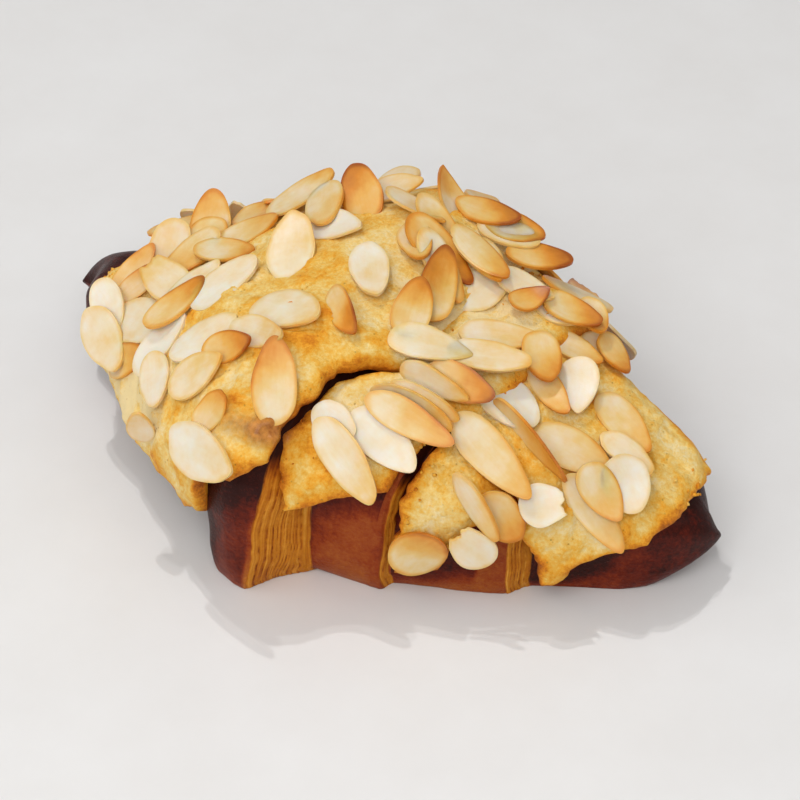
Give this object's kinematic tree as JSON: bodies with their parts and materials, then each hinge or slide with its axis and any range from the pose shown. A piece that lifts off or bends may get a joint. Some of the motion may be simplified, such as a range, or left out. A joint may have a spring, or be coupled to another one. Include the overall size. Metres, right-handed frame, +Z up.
{
  "type": "almond croissant",
  "caption": "Straight, fat laminated croissant baked under a cracked sheet of almond cream covered in toasted almond flakes.",
  "frame": {"origin": "middle of the whole's bounding box seen from above, at the height of the table that it rests on", "axes": "+X along the roll from the left horn to the right one, +Z up, -Y towards the wide front with the cut edges of the wraps"},
  "size_m": [0.159, 0.0996, 0.0551],
  "materials": {
    "croissant": "glossy dark brown baked crust with honey-coloured layered cut edges",
    "almond_topping": "crumbly pale golden almond cream with cream-white to toasted almond flakes"
  },
  "bodies": {
    "root": {"croissant": "croissant", "almond_topping": "almond_topping"}
  },
  "joints": []
}
